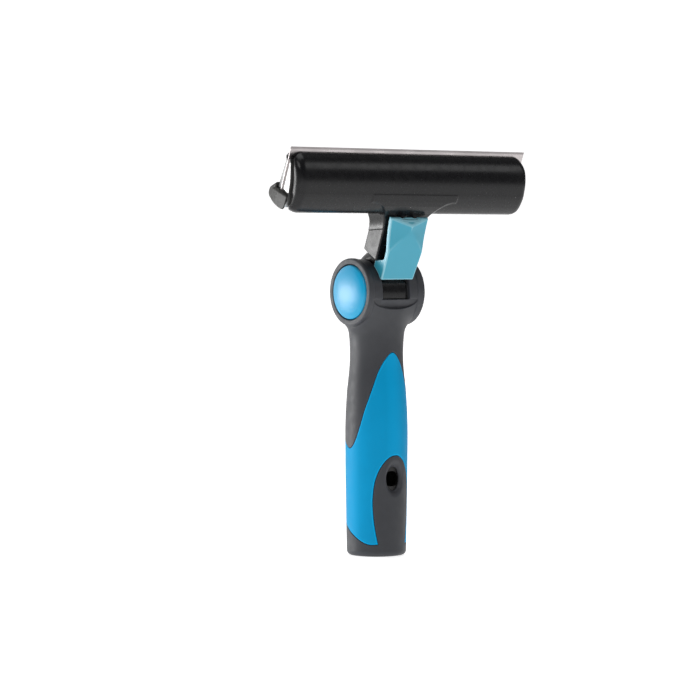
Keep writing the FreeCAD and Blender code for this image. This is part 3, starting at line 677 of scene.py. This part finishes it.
def lever_slots(x, forward, up):
    """Room for the fork, open at the top of the lever's rear, and the pin's hole."""
    ahead, rise, side = forward - LEVER_PIN[0], up - LEVER_PIN[1], np.abs(x)
    slots = np.maximum(np.hypot(ahead, rise) - 1.3, rise - 0.6)
    slots = np.minimum(slots, np.maximum(ahead + 0.1, -1.2 - rise))
    slots = np.maximum(slots, np.abs(side - FORK_PLACE) - FORK_HALF - 0.3)
    pin_room = np.maximum(np.hypot(ahead, rise) - 1.05, side - 5.3)
    return np.minimum(slots, pin_room)


def lever_field(x, back, up):
    """A hollow lever with a thin skin; the foot's upper edge is level while the head leans."""
    forward = -back
    tilt = HEAD_LEAN_SLOPE * (forward - REAR)
    half = FOOT_HALF + TOP_WIDER * (up - LEVER_FOOT) / (LEVER_TOP - LEVER_FOOT)
    skin, sides = (forward - lever_front(x, up)) * 0.8, np.abs(x) - half
    rear = np.where(up > FOOT_UP + tilt, lever_front(11.0, up) - 2.2, REAR)
    block = common(skin, sides, 0.5)
    block = common(block, np.maximum(LEVER_FOOT - up, up - LEVER_TOP), 0.4)
    block = common(block, rear - forward, 0.4)
    room = np.maximum(np.maximum(skin + SKIN_THICK, sides + SKIN_THICK), LEVER_FOOT + 1.2 - up)
    notch = np.maximum(common(forward - NOTCH_FRONT, FOOT_UP - 0.2 + tilt - up, 1.8), up - HOLLOW_UP)
    foot_room = np.maximum(np.abs(x) - (FOOT_HALF - SKIN_THICK), forward - FOOT_FRONT)
    foot_room = np.maximum(foot_room, up - HOLLOW_UP)
    block = minus(minus(minus(block, room, 0.3), notch, 0.3), foot_room, 0.3)
    lever = np.minimum(block, lever_cam(x, forward, up, skin))
    lever = np.maximum(lever, -lever_slots(x, forward, up))
    return np.maximum(lever, KNUCKLE_ROOM - np.hypot(forward, up))


def make_head():
    coarse = 1
    solid_piece("head_shell", "shell_black", "head", ["head_body"], head_field,
                (-75.6, -15.4, -15.4), (75.6, 14.9, 75.6), 0.5 * coarse, leaning)
    solid_piece("jaw_cover", "jaw_grey", "jaw", ["clamp_jaw"], jaw_field,
                (-76.6, -7.6, 41.5), (76.6, 10.6, 59.2), 0.4 * coarse, leaning)
    solid_piece("lever_cover", "lever_teal", "lever", ["release_lever"], lever_field,
                (-12.2, -16.8, 12.4), (12.2, -5, 46.6), 0.28 * coarse, leaning)


BLADE_HALF = corners("blade")[1][0]
HONE_FOOT, HONE_SHOULDER, HONE_TIP = 76.9, 77.2, 78.05
HONE_FRONT, HONE_BACK = -0.95, -1.55
TIP_FRONT, TIP_BACK = -1.18, -1.32


def make_hone():
    """The ground edge of the blade, a darker line along its tip."""
    section = [(HONE_FRONT, HONE_FOOT), (HONE_FRONT, HONE_SHOULDER), (TIP_FRONT, HONE_TIP),
               (TIP_BACK, HONE_TIP), (HONE_BACK, HONE_SHOULDER), (HONE_BACK, HONE_FOOT)]
    stations = np.linspace(-BLADE_HALF, BLADE_HALF, 31)
    rows = [leaning(np.array([(x, -forward, up) for forward, up in section])) * MM for x in stations]
    faces = ring_faces(len(stations), len(section))
    faces += [tuple(range(len(section)))[::-1]]
    faces += [tuple(range((len(stations) - 1) * len(section), len(stations) * len(section)))]
    mesh = bpy.data.meshes.new("blade_hone")
    mesh.from_pydata(np.vstack(rows).tolist(), [], faces)
    mesh.materials.append(MATERIALS["honed_steel"])
    piece = linked("blade_hone", mesh)
    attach(piece, "head")


# ---------------------------------------------------------------- lock button

# the button's section: place along the pivot's axis, and radius
BUTTON_CROWN = [(-19.7, 0.0), (-19.6, 4), (-19.2, 8), (-18.6, 11.2), (-18.0, 13.0)]
BUTTON_RIM = [(-17.7, 13.55), (-17.2, 13.85), (-16.6, 13.9), (-15.3, 13.9)]
BUTTON_STUB = [(-15.3, 8.7), (-12.25, 8.7), (-12.25, 6.75), (-16.6, 6.75), (-16.6, 0.0)]
BUTTON_TURNS = 128


def make_button():
    """The domed push button, turned about the pivot's axis."""
    profile = np.vstack([smooth_line(BUTTON_CROWN, 6), BUTTON_RIM, BUTTON_STUB])
    angles = np.arange(BUTTON_TURNS) * 2 * math.pi / BUTTON_TURNS
    points = np.array([(x, radius * math.cos(angle), PIVOT[2] + radius * math.sin(angle))
                       for x, radius in profile for angle in angles])
    mesh = bpy.data.meshes.new("button_dome")
    mesh.from_pydata((points * MM).tolist(), [], ring_faces(len(profile), BUTTON_TURNS))
    shape = bmesh.new()
    shape.from_mesh(mesh)
    bmesh.ops.remove_doubles(shape, verts=shape.verts, dist=1e-6)
    bmesh.ops.recalc_face_normals(shape, faces=shape.faces)
    for edge in shape.edges:
        edge.smooth = len(edge.link_faces) == 2 and edge.calc_face_angle() < math.radians(35)
    for face in shape.faces:
        face.smooth = True
    shape.to_mesh(mesh)
    shape.free()
    mesh.materials.append(MATERIALS["button_blue"])
    piece = linked("button_dome", mesh)
    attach(piece, "button")
    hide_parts("lock_button")


# ---------------------------------------------------------------- stage, light and camera

FLOOR_COLOUR, FLOOR_ROUGH, FLOOR_GLOW = grey(0.93), 0.35, 0.75
WORLD_STRENGTH = 0.12
AIM = (0, 0, 0.12)
CAMERA_AWAY, CAMERA_AROUND, CAMERA_HEIGHT = 1.48, math.radians(37.5), 0.1585
CAMERA_HEADING, CAMERA_DOWN = math.radians(36.97), math.radians(2.04)
CAMERA_LENS, CAMERA_SENSOR = 147.4, 36.0


def floor_material():
    """Plain white that glows a little, so that the floor stays pale, with a very slight tint."""
    tree, shader = new_material("floor_white")
    tint = spread(tree, noise(tree, position(tree), 0.2, 2.0), 0, 1)
    darker = tuple(c * 0.995 for c in FLOOR_COLOUR)
    tree.links.new(blend_colours(tree, tint, FLOOR_COLOUR, darker), shader.inputs["Base Color"])
    shader.inputs["Roughness"].default_value = FLOOR_ROUGH
    shader.inputs["Emission Color"].default_value = (1, 1, 1, 1)
    shader.inputs["Emission Strength"].default_value = FLOOR_GLOW


def make_floor():
    """A pale sweep: flat under the object and curving up far behind it."""
    half, front, back, rise, radius, steps = 3.0, -4.0, 1.6, 2.5, 0.8, 12
    profile = [(front, 0.0), (back, 0.0)]
    for step in range(1, steps + 1):
        turn = math.pi / 2 * step / steps
        profile.append((back + radius * math.sin(turn), radius * (1 - math.cos(turn))))
    profile.append((back + radius, rise))
    vertices = [(x, y, z) for y, z in profile for x in (-half, half)]
    faces = [(2 * n, 2 * n + 1, 2 * n + 3, 2 * n + 2) for n in range(len(profile) - 1)]
    mesh = bpy.data.meshes.new("floor")
    mesh.from_pydata(vertices, [], faces)
    floor_material()
    mesh.materials.append(MATERIALS["floor_white"])
    for polygon in mesh.polygons:
        polygon.use_smooth = True
    floor = linked("floor", mesh)


def area_light(name, place, width, height, power):
    """A rectangular lamp that faces the object; sizes in metres, power in watts."""
    lamp = bpy.data.lights.new(name, "AREA")
    lamp.shape = "RECTANGLE"
    lamp.size = width
    lamp.size_y = height
    lamp.energy = power
    obj = linked(name, lamp)
    obj.location = place
    obj.rotation_euler = (Vector(AIM) - Vector(place)).to_track_quat("-Z", "Y").to_euler()


def make_world():
    world = bpy.data.worlds.new("studio")
    world.use_nodes = True
    background = world.node_tree.nodes["Background"]
    background.inputs["Color"].default_value = (1, 1, 1, 1)
    background.inputs["Strength"].default_value = WORLD_STRENGTH
    bpy.context.scene.world = world
    bpy.context.scene.view_settings.view_transform = "Standard"


def make_camera():
    """Round to the left of the front, level with the upper grip and looking slightly down."""
    camera = bpy.data.cameras.new("camera")
    camera.lens = CAMERA_LENS
    camera.sensor_width = CAMERA_SENSOR
    obj = linked("camera", camera)
    left, front = CAMERA_AWAY * math.sin(CAMERA_AROUND), CAMERA_AWAY * math.cos(CAMERA_AROUND)
    obj.location = (-left, -front, CAMERA_HEIGHT)
    look = Vector((math.sin(CAMERA_HEADING) * math.cos(CAMERA_DOWN),
                   math.cos(CAMERA_HEADING) * math.cos(CAMERA_DOWN), -math.sin(CAMERA_DOWN)))
    obj.rotation_euler = look.to_track_quat("-Z", "Y").to_euler()
    bpy.context.scene.camera = obj


make_handle()
make_head()
make_hone()
make_button()
make_floor()
make_world()
make_camera()
area_light("left_back", (-0.66, 0.80, 0.10), 0.5, 0.18, 3)
area_light("front_right", (0.85, -0.85, 0.95), 0.7, 0.5, 1.6)
area_light("front_left", (-1.1, -0.5, 1.0), 0.6, 0.6, 3.6)
area_light("top", (0.0, 0.1, 1.3), 0.9, 0.9, 4)
